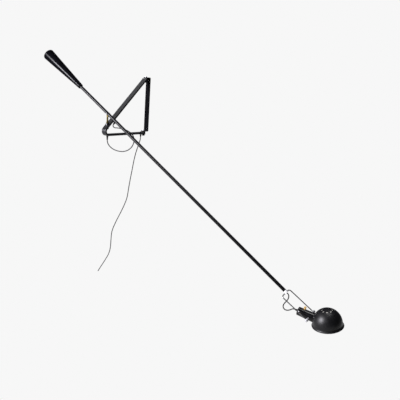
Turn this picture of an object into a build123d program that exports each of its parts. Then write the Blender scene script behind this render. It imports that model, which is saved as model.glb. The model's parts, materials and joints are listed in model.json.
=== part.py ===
from build123d import *
import os
from math import atan2, cos, degrees, pi, radians, sin, sqrt, tan

# Counterbalanced wall lamp: a bar on the wall, a bracket that swings on it, a long tubular arm with a
# counterweight that swivels and tilts on a brass pin, and a dome shade held in a wire yoke.
# Frame: millimetres, +Z up, the wall is the plane Y = 0, the room is towards -Y, and the origin is the
# middle of the wall bar's back face.

# ---------------------------------------------------------------- driving dimensions
FIT = 0.05                     # radial clearance of a pin in its bore
GAP = 0.3                      # clearance between faces that move past each other

BAR_WIDTH = 30
BAR_THICK = 5
BAR_LENGTH = 296
SCREW_SPACING = 266
SCREW_HOLE_R = 2.75
BAR_BEND_R = 6

HINGE_Y = -24                  # hinge axis, in front of the wall
LUG_R = 12
KNUCKLE_R = 11
KNUCKLE_HIGH = 16
KNUCKLE_REACH = 11             # from the hinge axis to the flat that the bracket is welded to
HINGE_PIN_R = 4
HINGE_HEAD_R = 6.5
HINGE_HEAD_HIGH = 4
HINGE_NUT_HIGH = 6.5
HINGE_NUT_ACROSS = 13
HINGE_WASHER_R = 8
WASHER_THICK = 1

STRIP_WIDTH = 30               # bracket, bent from flat rectangular tube
STRIP_DEEP = 10
STRIP_WALL = 1.5
STRIP_EDGE_R = 2
BRACKET_REACH = 328.5          # hinge axis to the sharp corner of the nose
BRACKET_RISE = 299.5           # lower member to the top of the diagonal, at the hinge axis
NOSE_R = 20
LOW_Z = -156.5                 # middle of the lower member

PIN_REACH = 277.4              # hinge axis to swivel axis
PIN_R = 4.5
SLEEVE_R = 7.5
SLEEVE_LOW = LOW_Z + 30
SLEEVE_FLOOR = 3
GROOVE_R = 3.6
GROOVE_HIGH = 3
GROOVE_Z = LOW_Z + 55.5
SWIVEL_SCREW_R = 1.4
SLEEVE_TOP = LOW_Z + 62
COLLAR_R = 6.5
COLLAR_THICK = 3
PIVOT_Z = LOW_Z + 110.2        # height of the tilt axis
TONGUE_THICK = 5
TONGUE_LENGTH = 18

ARM_AZIMUTH = 7.9              # arm from the wall's direction +X, at rest
ARM_TILT = 34.1                # arm below the horizontal, at rest
TUBE_R = 8
TUBE_BORE_R = 6.5
TUBE_BACK = -462               # along the arm from the tilt axis
TUBE_FRONT = 1249
SLOT_BACK = -11
SLOT_FRONT = 18
SLOT_WIDTH = 5.8
TILT_BOLT_R = 2.5
TILT_HEAD_R = 4.5
TILT_HEAD_HIGH = 3
TILT_NUT_HIGH = 4
TILT_NUT_ACROSS = 8
FRICTION_R = 4
FRICTION_THICK = 2.3

WEIGHT_BACK = -495
WEIGHT_FRONT = -217
WEIGHT_BIG_R = 30.4
WEIGHT_SMALL_R = 12.8
WEIGHT_EDGE_R = 5
WEIGHT_SCREW_AT = WEIGHT_FRONT - 16
WEIGHT_SCREW_R = 3
WEIGHT_KEY_ACROSS = 3           # hexagon socket of its screw
WEIGHT_KEY_DEEP = 2.5

ARM_GLAND_AT = 62
SPIGOT_LONG = 24
SPIGOT_R = 6.4
SPIGOT_BORE_R = 2.6
SPIGOT_GROOVE_AT = TUBE_FRONT - SPIGOT_LONG / 2
SPIGOT_GROOVE_R = 5
SPIGOT_SCREW_R = 1.5
FITTING_R = 9
FITTING_FRONT = 1262.5
YOKE_BASE = 1258
YOKE_DROP = 5.9                # yoke wire under the arm's axis, so that the cord passes over it
YOKE_PIVOT = 1404
YOKE_WIDTH = 76.6
YOKE_WIRE_R = 2.5
YOKE_CORNER_R = 13
YOKE_ROLL = 10.4               # yoke about the arm's axis, at rest
EYE_R = 6.6
EYE_THICK = 3

HEAD_TILT = 27.6               # holder above the arm's line, at rest
HOLDER_BACK = -59.5            # along the holder from its pivot
HOLDER_FRONT = 36
HOLDER_BACK_R = 19.2
HOLDER_FRONT_R = 22
HOLDER_WALL = 1.2
CAP_THICK = 6
CAP_EDGE_R = 2.5
CAP_FRONT = HOLDER_BACK + CAP_THICK
CAP_RING_LONG = 5
CAP_RING_WALL = 3
CAP_SCREW_AT = CAP_FRONT + CAP_RING_LONG / 2
CAP_SCREW_ANGLES = (60, 240)
SEAT_LIFT = 0.25               # flat seats clear the tapered holder by this
SMALL_SCREW_R = 1.5
SMALL_HEAD_R = 2.6
SMALL_HEAD_HIGH = 1.4
STUD_R = 4.2
STUD_NECK_R = 2.5
STUD_NECK_OUT = 8              # neck's end beyond the middle of the yoke's eye
STUD_FOOT = 1.5                # neck's end inside the holder's wall
PIVOT_WASHER_R = 5
PIVOT_WASHER_THICK = 0.8
PIVOT_NUT_R = 5.5
PIVOT_NUT_LONG = 7.5
PIVOT_NUT_END = 1.5            # closed outer end of the nut

SOCKET_BACK = -22
SOCKET_FRONT = 34
SOCKET_R = 17.4
SOCKET_BORE_R = 13.9
SOCKET_RING_LONG = 8
SHELL_R = 13.8
SHELL_WALL = 0.5
SHELL_SHORT = 2                # shell's ends inside the socket's
CONTACT_R = 3.8
CONTACT_DEEP = 4
CONTACT_TIP_R = 2
CONTACT_TIP = 1.5
BULB_BASE_R = 13.2
BULB_BASE_BACK = 4
BULB_BASE_FRONT = 27
BULB_TIP_R = 4
BULB_R = 19
BULB_MIDDLE = 48
BULB_NECK_R = 12.9

KEY_AT = -31.5                 # switch, along the holder
KEY_ANGLE = 10                 # switch, round from the holder's top
KEY_BUSH_R = 4.5
KEY_BUSH_OUT = 3
KEY_STEM_R = 2.5
KEY_COLLAR_R = 3.6
KEY_NUT_R = 6.2
KEY_NUT_HIGH = 2
SWITCH_LOW = 3                 # switch body, from the holder's middle out
SWITCH_TOP = 15
SWITCH_LONG = 17
SWITCH_WIDE = 15
PADDLE_WIDE = 11
PADDLE_THICK = 3
PADDLE_LOW = 2.3
PADDLE_HIGH = 8.4
WIRE_R = 1
WIRE_APART = 3.4

SHADE_AT = 82.3                # holder's pivot to the shade's axis, along the holder
SHADE_DIP = 14.7               # holder runs down into the shade by this angle
RIM_BELOW = 8.2                # rim's plane under the holder's axis, at the shade's axis
SHADE_R = 64.5                 # outside of the dome's sphere
SHADE_BAND = 15.5              # rim's plane to the sphere's middle
SHADE_WALL = 1.2
BAND_AT = 8.6                  # the band's hollow above the rim's plane, and its step outwards
BAND_OUT = 0.9
RIM_R = 70
RIM_BEAD_R = 1.8
VENT_RING_R = 22.3
VENT_R = 3.2
VENT_COUNT = 8
SEAT_RING_BACK = 4
SEAT_RING_FRONT = 33
SEAT_RING_THICK = 3.5
SEAT_SCREW_AT = 29
SEAT_SCREW_ANGLES = (-70, 0, 70)

CORD_R = 2.5
LEAD_R = 2.3
GLAND_NECK_R = 4
GLAND_COLLAR_R = 6
GLAND_COLLAR_THICK = 3
GLAND_TAIL_R = 5.2
GLAND_TIP_R = 4
REAR_GLAND_Y = -46
REAR_GLAND_TIP = -176
FRONT_GLAND_Y = -299
FRONT_GLAND_TIP = -181
ARM_GLAND_TIP = 20             # below the arm's axis
HEAD_GLAND_TIP = -73           # along the holder

# ---------------------------------------------------------------- places that follow from them
PIN_Y = HINGE_Y - PIN_REACH
DIAGONAL = degrees(atan2(BRACKET_RISE, BRACKET_REACH))
LUG_FLOORS = (BAR_LENGTH / 2 - BAR_THICK, -BAR_LENGTH / 2)     # undersides of the upper and lower lug
ARM = Pos(0, PIN_Y, PIVOT_Z) * Rot(Z=ARM_AZIMUTH) * Rot(Y=ARM_TILT)
SWIVEL = Pos(0, PIN_Y, 0) * Rot(Z=ARM_AZIMUTH)
YOKE = ARM * Pos(YOKE_PIVOT, 0, 0) * Rot(X=YOKE_ROLL)
HEAD = YOKE * Rot(Y=-HEAD_TILT)
KEY = HEAD * Pos(KEY_AT, 0, 0) * Rot(X=-KEY_ANGLE)
SHADE = HEAD * Pos(SHADE_AT, 0, 0) * Rot(Y=-SHADE_DIP) * Pos(0, 0, -RIM_BELOW)

# Routes of the three free cords, from exit to end.
MAINS_ROUTE = [
    (0, -46, -176), (0, -46, -190), (-10, -44, -214), (-32, -41, -262), (-49, -39, -315),
    (-62, -37, -375), (-76, -36, -437), (-87, -36, -500), (-93, -37, -548), (-110, -38, -590),
    (-132, -40, -636), (-158, -41, -682), (-185, -42, -733), (-207, -42, -782), (-212, -41, -830),
    (-214, -40, -878), (-226, -38, -926), (-256, -36, -974), (-292, -34, -1024), (-329, -32, -1078),
]
JUMPER_ROUTE = [
    (0, -299, -181), (0, -299, -193), (11, -296, -212), (34, -289, -228), (70, -281, -235),
    (105, -274, -231), (133, -268, -216), (151, -264, -193), (158, -263, -167), (152, -265, -145),
    (136, -267, -131), (115, -270, -123), (95, -274, -118), (76, -279.5, -115.5), (60, -286.5, -114.5),
    (48, -291.5, -115.5), (38.5, -294.8, -112.5),
]
HEAD_CORD_ROUTE = [
    (1046.2, -157.3, -767.7), (1045.1, -158.3, -780.4), (1037.5, -159.3, -794.3),
    (1028.2, -160, -808), (1024.2, -160, -820.8), (1028, -159.4, -832), (1038.5, -157.2, -837.5),
    (1049.8, -154, -836), (1059.5, -149.8, -830.5),
]


def along(frame, x, y=0, z=0):
    """The point (x, y, z) of a frame, in the lamp's own frame."""
    spot = (frame * Pos(x, y, z)).position
    return (spot.X, spot.Y, spot.Z)


def rod(radius, back, front):
    """A round bar along X."""
    return Pos((back + front) / 2, 0, 0) * Rot(Y=90) * Cylinder(radius, front - back)


def cross_rod(radius, near, far):
    """A round bar along Y."""
    return Pos(0, (near + far) / 2, 0) * Rot(X=90) * Cylinder(radius, far - near)


def upright(radius, low, high):
    """A round bar along Z."""
    return Pos(0, 0, (low + high) / 2) * Cylinder(radius, high - low)


def hexagon(across_flats, low, high):
    """A hexagonal bar along Z."""
    side = RegularPolygon(across_flats / sqrt(3), 6)
    return Pos(0, 0, low) * extrude(side, high - low)


def tube_path(points):
    """Straight runs joined by tangent arcs, each as large as its two runs allow."""
    spots = [Vector(*p) for p in points]
    radii = []
    for before, here, after in zip(spots, spots[1:], spots[2:]):
        turn = (here - before).get_angle(after - here)
        shorter = min((here - before).length, (after - here).length)
        radii.append(0.45 * shorter / tan(radians(turn / 2)))
    return FilletPolyline(*spots, radius=radii), radii


def cord(name, points, radius):
    path, radii = tube_path(points)
    start = Plane(origin=path @ 0, z_dir=path % 0)
    body = sweep(start * Circle(radius), path=path)
    print(name, "length", round(path.length, 1), "smallest radius", round(min(radii), 1),
          "volume ratio", round(body.volume / (path.length * pi * radius**2), 4))
    print("   radii", [round(r, 1) for r in radii])
    return body


# ---------------------------------------------------------------- wall bar and hinge
def wall_bar():
    """Flat bar with both ends bent forward into rounded lugs."""
    reach = -HINGE_Y + LUG_R
    half = BAR_LENGTH / 2
    side = Rectangle(reach, BAR_LENGTH, align=(Align.MAX, Align.CENTER))
    side -= Pos(-BAR_THICK, 0) * Rectangle(reach, BAR_LENGTH - 2 * BAR_THICK, align=(Align.MAX, Align.CENTER))
    bar = extrude(Plane.YZ * side, BAR_WIDTH / 2, both=True)
    back_edges = bar.edges().filter_by(Axis.X).group_by(Axis.Y)[-1]
    bar = fillet(back_edges, BAR_BEND_R)
    plan = Pos(0, HINGE_Y) * Circle(LUG_R)
    plan += make_hull((plan + Pos(0, -BAR_THICK) * Rectangle(BAR_WIDTH, 0.2)).edges())
    plan += Pos(0, -BAR_THICK / 2) * Rectangle(BAR_WIDTH, BAR_THICK)
    bar &= Pos(0, 0, -half) * extrude(plan, BAR_LENGTH)
    bar -= Pos(0, HINGE_Y, 0) * upright(HINGE_PIN_R + FIT, -half - 1, half + 1)
    for z in (-SCREW_SPACING / 2, SCREW_SPACING / 2):
        bar -= Pos(0, 0, z) * cross_rod(SCREW_HOLE_R, -BAR_THICK - 1, 1)
    return bar


def knuckle(lug_floor):
    """Bored block under a lug, with a flat that the bracket's tube is welded to."""
    top = lug_floor - WASHER_THICK
    barrel = Circle(KNUCKLE_R)
    flat = Pos(0, -KNUCKLE_REACH + 0.5) * Rectangle(STRIP_WIDTH, 1)
    plan = make_hull((barrel + flat).edges())
    block = Pos(0, 0, top - KNUCKLE_HIGH) * extrude(plan, KNUCKLE_HIGH)
    block -= upright(HINGE_PIN_R + FIT, top - KNUCKLE_HIGH - 1, top + 1)
    return Pos(0, HINGE_Y, 0) * block


def hinge_bolt(lug_floor):
    head_low = lug_floor + BAR_THICK
    foot = lug_floor - WASHER_THICK - KNUCKLE_HIGH - GAP - HINGE_NUT_HIGH
    head = upright(HINGE_HEAD_R, head_low, head_low + HINGE_HEAD_HIGH)
    head = chamfer(head.edges().group_by(Axis.Z)[-1], 1)
    return Pos(0, HINGE_Y, 0) * (head + upright(HINGE_PIN_R, foot, head_low + 1))


def hinge_nut(lug_floor):
    top = lug_floor - WASHER_THICK - KNUCKLE_HIGH - GAP
    nut = hexagon(HINGE_NUT_ACROSS, top - HINGE_NUT_HIGH, top)
    return Pos(0, HINGE_Y, 0) * (nut - upright(HINGE_PIN_R, top - HINGE_NUT_HIGH - 1, top + 1))


def hinge_washer(lug_floor):
    """Brass washer between a lug and the knuckle that hangs under it."""
    low = lug_floor - WASHER_THICK
    ring = upright(HINGE_WASHER_R, low, lug_floor) - upright(HINGE_PIN_R + FIT, low - 1, lug_floor + 1)
    return Pos(0, HINGE_Y, 0) * ring


# ---------------------------------------------------------------- bracket
def bracket_line():
    """Middle line of the bracket: lower member, nose bend and diagonal, seen along X."""
    slope = radians(DIAGONAL)
    tangent = NOSE_R / tan(slope / 2)
    low_start = Vector(0, HINGE_Y - KNUCKLE_REACH, LOW_Z)
    corner = Vector(0, HINGE_Y - BRACKET_REACH, LOW_Z)
    low_end = corner + Vector(0, tangent, 0)
    high_start = corner + Vector(0, cos(slope), sin(slope)) * tangent
    middle = low_end + Vector(0, 0, NOSE_R)
    crown = middle + Vector(0, -cos(slope / 2), sin(slope / 2)) * NOSE_R
    run = (BRACKET_REACH - KNUCKLE_REACH) / cos(slope) + STRIP_DEEP
    high_end = corner + Vector(0, cos(slope), sin(slope)) * run
    line = Line(low_start, low_end)
    line += ThreePointArc(low_end, crown, high_start)
    line += Line(high_start, high_end)
    return line


def bracket_tube():
    """Flat rectangular tube, bent once, cut upright at the knuckles' flats."""
    line = bracket_line()
    start = Plane(origin=(0, HINGE_Y - KNUCKLE_REACH, LOW_Z), x_dir=(1, 0, 0), z_dir=(0, -1, 0))
    outside = sweep(start * RectangleRounded(STRIP_WIDTH, STRIP_DEEP, STRIP_EDGE_R), path=line)
    bore = Rectangle(STRIP_WIDTH - 2 * STRIP_WALL, STRIP_DEEP - 2 * STRIP_WALL)
    tube = outside - sweep(start * bore, path=line)
    wide = 4 * STRIP_WIDTH
    tube -= Pos(0, HINGE_Y - KNUCKLE_REACH + wide / 2, LOW_Z + BRACKET_RISE) * Box(wide, wide, wide)
    tube -= Pos(0, PIN_Y, 0) * upright(SLEEVE_R, SLEEVE_LOW, SLEEVE_TOP + STRIP_DEEP)
    for y in (FRONT_GLAND_Y, REAR_GLAND_Y):
        tube -= Pos(0, y, 0) * upright(GLAND_NECK_R, LOW_Z - STRIP_DEEP, LOW_Z)
    return tube


def swivel_sleeve():
    """Bored sleeve, welded through the diagonal where the swivel pin stands."""
    sleeve = upright(SLEEVE_R, SLEEVE_LOW, SLEEVE_TOP)
    sleeve = chamfer(sleeve.edges().group_by(Axis.Z)[-1], 0.6)
    sleeve -= upright(PIN_R + FIT, SLEEVE_LOW + SLEEVE_FLOOR, SLEEVE_TOP + 1)
    sleeve -= Pos(0, 0, GROOVE_Z) * Rot(X=90) * upright(SWIVEL_SCREW_R + FIT, 0, SLEEVE_R + 1)
    return Pos(0, PIN_Y, 0) * sleeve


def gland(neck_top, seat, tip):
    """Strain relief moulded round its cord, standing along -Z: neck, collar and tapered tail."""
    neck = upright(GLAND_NECK_R, seat - 1, neck_top)
    collar = upright(GLAND_COLLAR_R, seat - GLAND_COLLAR_THICK, seat)
    collar = fillet(collar.edges(), 0.8)
    tail_high = seat - GLAND_COLLAR_THICK - tip
    tail = Pos(0, 0, tip + tail_high / 2) * Cone(GLAND_TIP_R, GLAND_TAIL_R, tail_high)
    return neck + collar + tail


def bracket_gland(y, tip):
    """Gland on the underside of the lower member, its neck up round the hidden cord."""
    return Pos(0, y, 0) * gland(LOW_Z + LEAD_R, LOW_Z - STRIP_DEEP / 2 - FIT, tip)


def bracket_lead():
    """The cord's hidden run inside the lower member, from gland to gland."""
    return Pos(0, 0, LOW_Z) * cross_rod(LEAD_R, FRONT_GLAND_Y, REAR_GLAND_Y)


# ---------------------------------------------------------------- swivel pin
def swivel_screw():
    """Grub screw in the sleeve, with its point in the pin's groove."""
    screw = Rot(X=90) * upright(SWIVEL_SCREW_R, GROOVE_R + GAP, SLEEVE_R - 0.4)
    return Pos(0, PIN_Y, GROOVE_Z) * screw


def swivel_washer():
    ring = upright(COLLAR_R, SLEEVE_TOP, SLEEVE_TOP + WASHER_THICK)
    return Pos(0, PIN_Y, 0) * (ring - upright(PIN_R + FIT, SLEEVE_TOP - 1, SLEEVE_TOP + 2))


def swivel_pin():
    """Brass pin: it turns in the sleeve, and its flat tongue is the arm's tilt hinge."""
    foot = SLEEVE_LOW + SLEEVE_FLOOR + GAP
    shoulder = PIVOT_Z - TONGUE_LENGTH
    collar_low = SLEEVE_TOP + WASHER_THICK
    pin = upright(PIN_R, foot, shoulder)
    collar = upright(COLLAR_R, collar_low, collar_low + COLLAR_THICK)
    pin += chamfer(collar.edges().group_by(Axis.Z)[-1], 0.8)
    groove = upright(PIN_R + 1, GROOVE_Z - GROOVE_HIGH / 2 - 1, GROOVE_Z + GROOVE_HIGH / 2 + 1)
    pin -= groove - upright(GROOVE_R, GROOVE_Z - GROOVE_HIGH, GROOVE_Z + GROOVE_HIGH)
    tongue = Pos(0, 0, PIVOT_Z - TONGUE_LENGTH / 2) * Box(2 * PIN_R, TONGUE_THICK, TONGUE_LENGTH)
    half = TONGUE_THICK / 2
    tongue += Pos(0, 0, PIVOT_Z) * cross_rod(PIN_R, -half, half)
    tongue -= Pos(0, 0, PIVOT_Z) * cross_rod(TILT_BOLT_R + FIT, -half - 1, half + 1)
    return SWIVEL * (pin + tongue)


# ---------------------------------------------------------------- arm, along +X from the tilt axis
def arm_tube():
    tube = rod(TUBE_R, TUBE_BACK, TUBE_FRONT) - rod(TUBE_BORE_R, TUBE_BACK - 1, TUBE_FRONT + 1)
    slot_long = SLOT_FRONT - SLOT_BACK
    slot = Pos((SLOT_BACK + SLOT_FRONT) / 2, 0, -TUBE_R) * Box(slot_long, SLOT_WIDTH, 2 * TUBE_R)
    tube -= fillet(slot.edges().filter_by(Axis.Z), SLOT_WIDTH / 2 - 0.1)
    tube -= cross_rod(TILT_BOLT_R + FIT, -TUBE_R - 1, TUBE_R + 1)
    tube -= Pos(ARM_GLAND_AT, 0, 0) * upright(GLAND_NECK_R + FIT, -TUBE_R - 1, 0)
    tube -= Pos(SPIGOT_GROOVE_AT, 0, 0) * upright(SPIGOT_SCREW_R + FIT, -TUBE_R - 1, 0)
    return ARM * tube


def arm_gland():
    return ARM * Pos(ARM_GLAND_AT, 0, 0) * gland(-LEAD_R, -TUBE_R - FIT, -ARM_GLAND_TIP)


def arm_lead():
    """The cord's hidden run inside the arm, from its gland to the end fitting's mouth."""
    return ARM * rod(LEAD_R, ARM_GLAND_AT - GLAND_NECK_R, FITTING_FRONT)


def friction_washers():
    """Fibre washers inside the tube, one each side of the pin's tongue."""
    near = TONGUE_THICK / 2 + FIT
    far = near + FRICTION_THICK
    ring = cross_rod(FRICTION_R, near, far) - cross_rod(TILT_BOLT_R + FIT, near - 1, far + 1)
    return [ARM * ring, ARM * Rot(Z=180) * ring]


def tilt_bolt():
    outer = -TUBE_R - FIT - TILT_HEAD_HIGH
    head = cross_rod(TILT_HEAD_R, outer, -TUBE_R - FIT)
    head = fillet(head.edges().group_by(Axis.Y)[0], 1.5)
    shank = cross_rod(TILT_BOLT_R, -TUBE_R - 1, TUBE_R + TILT_NUT_HIGH + 1)
    return ARM * (head + shank)


def tilt_nut():
    nut = hexagon(TILT_NUT_ACROSS, TUBE_R + FIT, TUBE_R + FIT + TILT_NUT_HIGH)
    nut -= upright(TILT_BOLT_R, TUBE_R - 1, TUBE_R + TILT_NUT_HIGH + 1)
    return ARM * Rot(X=-90) * nut


def counterweight():
    """Cast-iron cone on the arm's back end, its bore stopped short of the big face."""
    outline = Polyline((WEIGHT_FRONT, 0), (WEIGHT_FRONT, WEIGHT_SMALL_R), (WEIGHT_BACK, WEIGHT_BIG_R),
                       (WEIGHT_BACK, 0), close=True)
    cone = revolve(Plane.XZ * make_face(outline), Axis.X)
    cone = fillet(cone.edges().group_by(Axis.X)[0], WEIGHT_EDGE_R)
    cone = fillet(cone.edges().group_by(Axis.X)[-1], 1)
    cone -= rod(TUBE_R + FIT, TUBE_BACK - GAP, WEIGHT_FRONT + 1)
    cone -= Pos(WEIGHT_SCREW_AT, 0, 0) * upright(WEIGHT_SCREW_R + FIT, -WEIGHT_BIG_R, 0)
    return ARM * cone


def counterweight_screw():
    screw = upright(WEIGHT_SCREW_R, -WEIGHT_SMALL_R, -TUBE_R - FIT)
    screw -= Pos(0, 0, -WEIGHT_SMALL_R) * hexagon(WEIGHT_KEY_ACROSS, -1, WEIGHT_KEY_DEEP)
    return ARM * Pos(WEIGHT_SCREW_AT, 0, 0) * screw


def spigot_screw():
    """Grub screw in the tube, with its point in the spigot's groove."""
    return ARM * Pos(SPIGOT_GROOVE_AT, 0, 0) * upright(SPIGOT_SCREW_R, -TUBE_R, -SPIGOT_GROOVE_R - GAP)


# ---------------------------------------------------------------- yoke
def end_fitting():
    """Turned fitting: its spigot swivels in the arm's end, and its head holds the yoke's wire."""
    fitting = rod(SPIGOT_R, TUBE_FRONT - SPIGOT_LONG, TUBE_FRONT + 1)
    head = rod(FITTING_R, TUBE_FRONT + GAP, FITTING_FRONT)
    fitting += chamfer(head.edges(), 1.2)
    groove = rod(SPIGOT_R + 1, SPIGOT_GROOVE_AT - 2, SPIGOT_GROOVE_AT + 2)
    fitting -= groove - rod(SPIGOT_GROOVE_R, SPIGOT_GROOVE_AT - 3, SPIGOT_GROOVE_AT + 3)
    fitting -= rod(SPIGOT_BORE_R, TUBE_FRONT - SPIGOT_LONG - 1, FITTING_FRONT + 1)
    fitting -= Pos(YOKE_BASE, 0, -YOKE_DROP) * cross_rod(YOKE_WIRE_R + FIT, -2 * FITTING_R, 2 * FITTING_R)
    return ARM * Rot(X=YOKE_ROLL) * fitting


def yoke_wire():
    """Steel wire bent into a U, with a flattened eye on each end."""
    half = YOKE_WIDTH / 2
    base = YOKE_BASE - YOKE_PIVOT
    eye_start = EYE_R - 0.6
    path = FilletPolyline((-eye_start, -half, 0), (base, -half, -YOKE_DROP), (base, half, -YOKE_DROP),
                          (-eye_start, half, 0), radius=YOKE_CORNER_R)
    start = Plane(origin=path @ 0, z_dir=path % 0)
    wire = sweep(start * Circle(YOKE_WIRE_R), path=path)
    for middle in (-half, half):
        near = middle - EYE_THICK / 2
        far = middle + EYE_THICK / 2
        wire += cross_rod(EYE_R, near, far)
        wire -= cross_rod(STUD_NECK_R + FIT, near - 2, far + 2)
    return YOKE * wire


# ---------------------------------------------------------------- head, along +X from its pivot
def holder_r(x):
    """Outside radius of the tapered holder."""
    share = (x - HOLDER_BACK) / (HOLDER_FRONT - HOLDER_BACK)
    return HOLDER_BACK_R + share * (HOLDER_FRONT_R - HOLDER_BACK_R)


def holder_cone(back, front, grow=0.0):
    """The holder's tapered shape between two places along it, grown by a margin."""
    return Pos((back + front) / 2, 0, 0) * Rot(Y=90) * Cone(holder_r(back) + grow, holder_r(front) + grow,
                                                            front - back)


def holder():
    """Tapered tube that holds the socket, the switch and the shade."""
    tube = holder_cone(CAP_FRONT, HOLDER_FRONT) - holder_cone(CAP_FRONT - 1, HOLDER_FRONT + 1, -HOLDER_WALL)
    tube -= cross_rod(STUD_NECK_R + FIT, -HOLDER_FRONT_R, HOLDER_FRONT_R)
    tube -= Pos(KEY_AT, 0, 0) * Rot(X=-KEY_ANGLE) * upright(KEY_BUSH_R + FIT, 0, HOLDER_FRONT_R)
    for angle in CAP_SCREW_ANGLES:
        tube -= Pos(CAP_SCREW_AT, 0, 0) * Rot(X=angle) * upright(SMALL_SCREW_R + FIT, 0, HOLDER_FRONT_R)
    for angle in SEAT_SCREW_ANGLES:
        tube -= Pos(SEAT_SCREW_AT, 0, 0) * Rot(X=angle) * upright(SMALL_SCREW_R + FIT, 0, HOLDER_FRONT_R + 2)
    return HEAD * tube


def rear_cap():
    """Cap with a ring that enters the holder, and a hole for the cord's gland."""
    inner_r = holder_r(CAP_FRONT) - HOLDER_WALL - FIT
    cap = rod(holder_r(CAP_FRONT), HOLDER_BACK, CAP_FRONT)
    cap = fillet(cap.edges().group_by(Axis.X)[0], CAP_EDGE_R)
    ring_end = CAP_FRONT + CAP_RING_LONG
    cap += rod(inner_r, CAP_FRONT, ring_end) - rod(inner_r - CAP_RING_WALL, CAP_FRONT, ring_end + 1)
    cap -= rod(GLAND_NECK_R + FIT, HOLDER_BACK - 1, CAP_FRONT + 1)
    for angle in CAP_SCREW_ANGLES:
        cap -= Pos(CAP_SCREW_AT, 0, 0) * Rot(X=angle) * upright(SMALL_SCREW_R + FIT, 0, HOLDER_FRONT_R)
    return HEAD * cap


def small_screw(at, angle, foot, seat):
    """Radial screw in the holder, from its foot's radius to its head's seat."""
    screw = upright(SMALL_SCREW_R, foot, seat + 0.5)
    head = upright(SMALL_HEAD_R, seat, seat + SMALL_HEAD_HIGH)
    screw += fillet(head.edges().group_by(Axis.Z)[-1], 0.6)
    return HEAD * Pos(at, 0, 0) * Rot(X=angle) * screw


def cap_screws():
    seat = holder_r(CAP_SCREW_AT) + SEAT_LIFT
    return [small_screw(CAP_SCREW_AT, angle, seat - 4, seat) for angle in CAP_SCREW_ANGLES]


def head_gland():
    seat = HOLDER_BACK - FIT
    return HEAD * Rot(Y=90) * gland(CAP_FRONT, seat, HEAD_GLAND_TIP)


def pivot_studs():
    """Studs through the holder's wall: a thick part out to the yoke's eye, then a threaded neck."""
    shoulder_end = YOKE_WIDTH / 2 - EYE_THICK / 2 - FIT
    seat = holder_r(0) + SEAT_LIFT
    stud = cross_rod(STUD_R, seat, shoulder_end)
    stud += cross_rod(STUD_NECK_R, seat - HOLDER_WALL - STUD_FOOT, YOKE_WIDTH / 2 + STUD_NECK_OUT)
    return [HEAD * stud, HEAD * Rot(Z=180) * stud]


def pivot_washers():
    near = YOKE_WIDTH / 2 + EYE_THICK / 2 + FIT
    far = near + PIVOT_WASHER_THICK
    ring = cross_rod(PIVOT_WASHER_R, near, far) - cross_rod(STUD_NECK_R + FIT, near - 1, far + 1)
    return [HEAD * ring, HEAD * Rot(Z=180) * ring]


def pivot_nuts():
    """Round nuts, tightened by hand."""
    near = YOKE_WIDTH / 2 + EYE_THICK / 2 + FIT + PIVOT_WASHER_THICK
    nut = cross_rod(PIVOT_NUT_R, near, near + PIVOT_NUT_LONG)
    nut = chamfer(nut.edges().filter_by(GeomType.CIRCLE), 0.8)
    nut -= cross_rod(STUD_NECK_R + FIT, near - 1, near + PIVOT_NUT_LONG - PIVOT_NUT_END)
    return [HEAD * nut, HEAD * Rot(Z=180) * nut]


def lamp_socket():
    """Ceramic socket body with the bulb's bore."""
    body = rod(SOCKET_R, SOCKET_BACK, SOCKET_FRONT)
    body = chamfer(body.edges(), 1)
    body -= rod(SOCKET_BORE_R, 0, SOCKET_FRONT + 1)
    body -= rod(BULB_TIP_R, -CONTACT_DEEP, 1)
    return HEAD * body


def socket_ring():
    """Threaded ring that holds the socket in the holder's mouth."""
    back = SOCKET_FRONT - SOCKET_RING_LONG
    ring = holder_cone(back, SOCKET_FRONT, -HOLDER_WALL - FIT) - rod(SOCKET_R + FIT, back - 1, SOCKET_FRONT + 1)
    return HEAD * ring


def socket_shell():
    """Thin brass shell that the bulb's base screws into."""
    shell = rod(SHELL_R, SHELL_SHORT, SOCKET_FRONT - SHELL_SHORT)
    return HEAD * (shell - rod(SHELL_R - SHELL_WALL, 0, SOCKET_FRONT))


def centre_contact():
    """Sprung contact in the socket's floor, touching the bulb's tip."""
    return HEAD * (rod(CONTACT_R, -CONTACT_DEEP, 0) + rod(CONTACT_TIP_R, -1, CONTACT_TIP))


def bulb_base():
    """Screw base with its contact tip."""
    base = rod(BULB_BASE_R, BULB_BASE_BACK, BULB_BASE_FRONT)
    base = chamfer(base.edges().group_by(Axis.X)[0], 2)
    return HEAD * (base + rod(BULB_TIP_R, CONTACT_TIP, BULB_BASE_BACK + 1))


def bulb_glass():
    """Small round bulb with a short neck."""
    globe = Pos(BULB_MIDDLE, 0, 0) * Sphere(BULB_R)
    return HEAD * (globe + rod(BULB_NECK_R, BULB_BASE_FRONT, BULB_MIDDLE))


def switch_body():
    """Turn switch inside the holder, with its threaded bush through the wall."""
    middle = (SWITCH_LOW + SWITCH_TOP) / 2
    block = Pos(0, 0, middle) * Box(SWITCH_LONG, SWITCH_WIDE, SWITCH_TOP - SWITCH_LOW)
    block = fillet(block.edges().filter_by(Axis.Z), 2)
    bush_top = holder_r(KEY_AT) + KEY_BUSH_OUT
    bush = upright(KEY_BUSH_R, SWITCH_TOP - 1, bush_top)
    return KEY * (block + bush - upright(KEY_STEM_R + FIT, SWITCH_TOP + 1, bush_top + 1))


def switch_nut():
    low = holder_r(KEY_AT) + SEAT_LIFT
    top = low + KEY_NUT_HIGH
    nut = upright(KEY_NUT_R, low, top)
    nut = chamfer(nut.edges().group_by(Axis.Z)[-1], 0.5)
    return KEY * (nut - upright(KEY_BUSH_R + FIT, low - 1, top + 1))


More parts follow.
